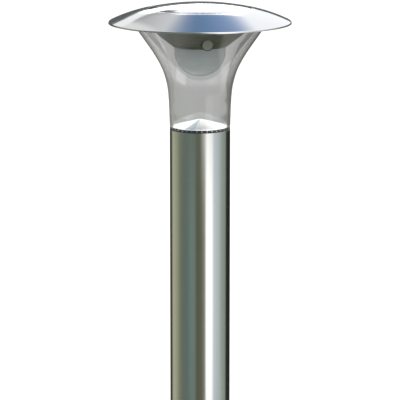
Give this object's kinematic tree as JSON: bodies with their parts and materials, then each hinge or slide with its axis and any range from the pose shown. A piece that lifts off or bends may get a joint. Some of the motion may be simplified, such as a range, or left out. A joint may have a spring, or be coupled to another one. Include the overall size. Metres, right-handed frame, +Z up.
{
  "type": "solar garden light",
  "caption": "Garden light on a stake: a domed steel head with a solar panel lifts and turns on a clear trumpet lens, over a straight steel post with a ground spike.",
  "frame": {"origin": "on the post's axis at the ground line, the underside of the spike's flange", "axes": "+Z up along the post's axis; -Y towards the front, the side with the push button; +X to the right seen from the front"},
  "size_m": [0.1508, 0.1508, 0.7045],
  "materials": {
    "brushed_steel": "brushed along the tube's length",
    "polished_steel": "spun and polished stainless steel",
    "satin_reflector": "bright satin metallised finish",
    "zinc_screw": "zinc plated",
    "contact_metal": "nickel plated",
    "clear_lens": "clear moulded acrylic",
    "panel_cover": "clear crowned cover",
    "frosted_bowl": "frosted, translucent",
    "led_clear": "water-clear lamp",
    "black_plastic": "fine moulded texture",
    "olive_plastic": "semi-gloss, faint turned lines",
    "grey_plastic": "fine moulded texture",
    "button_plastic": "ribbed",
    "black_rubber": "smooth silicone",
    "solar_silicon": "dark blue cells with thin silver lines",
    "board_green": "solder-masked board",
    "board_white": "white board",
    "cell_wrap": "shrink-wrapped cell",
    "chip_black": "moulded",
    "coil_teal": "lacquered",
    "wire_red": "insulated wire",
    "wire_black": "insulated wire"
  },
  "bodies": {
    "post": {"ground_spike": "black_plastic", "foot_plug": "black_plastic", "post_tube": "brushed_steel", "lens_socket": "black_plastic", "trumpet_lens": "clear_lens", "reflector_cone": "satin_reflector"},
    "seal": {"lens_seal": "black_rubber"},
    "head": {"cap_dome": "polished_steel", "panel_tray": "black_plastic", "panel_seal": "black_rubber", "solar_cover": "panel_cover", "solar_board": "board_white", "solar_strip_1": "solar_silicon", "solar_strip_2": "solar_silicon", "solar_strip_3": "solar_silicon", "solar_strip_4": "solar_silicon", "base_plate": "grey_plastic", "light_housing": "olive_plastic", "housing_screw_1": "zinc_screw", "housing_screw_2": "zinc_screw", "housing_screw_3": "zinc_screw", "housing_screw_4": "zinc_screw", "tray_screw_1": "zinc_screw", "tray_screw_2": "zinc_screw", "tray_screw_3": "zinc_screw", "diffuser_bowl": "frosted_bowl", "battery_cradle": "black_plastic", "battery_cell": "cell_wrap", "battery_spring": "contact_metal", "battery_contact": "contact_metal", "led_board": "board_green", "led_spacer": "board_white", "led_lamp": "led_clear", "driver_chip": "chip_black", "power_coil": "coil_teal", "storage_capacitor": "chip_black", "panel_lead_red": "wire_red", "panel_lead_black": "wire_black", "battery_lead_red": "wire_red", "battery_lead_black": "wire_black", "switch_bezel": "black_plastic", "switch_body": "chip_black", "switch_spring": "contact_metal"},
    "button": {"switch_button": "button_plastic"}
  },
  "joints": [
    {"name": "head_turn", "type": "hinge", "parent": "post", "child": "seal", "pos_m": [0, 0, 0.5182], "axis": [0, 0, 1], "continuous": true},
    {"name": "head_lift", "type": "slide", "parent": "seal", "child": "head", "axis": [0, 0, 1], "range_m": [0, 0.06]},
    {"name": "switch_press", "type": "slide", "parent": "head", "child": "button", "axis": [0, 1, 0], "range_m": [0, 0.0015], "stiffness_N_per_m": 400, "springref_m": -0.0005, "deforming": ["switch_spring"]}
  ]
}
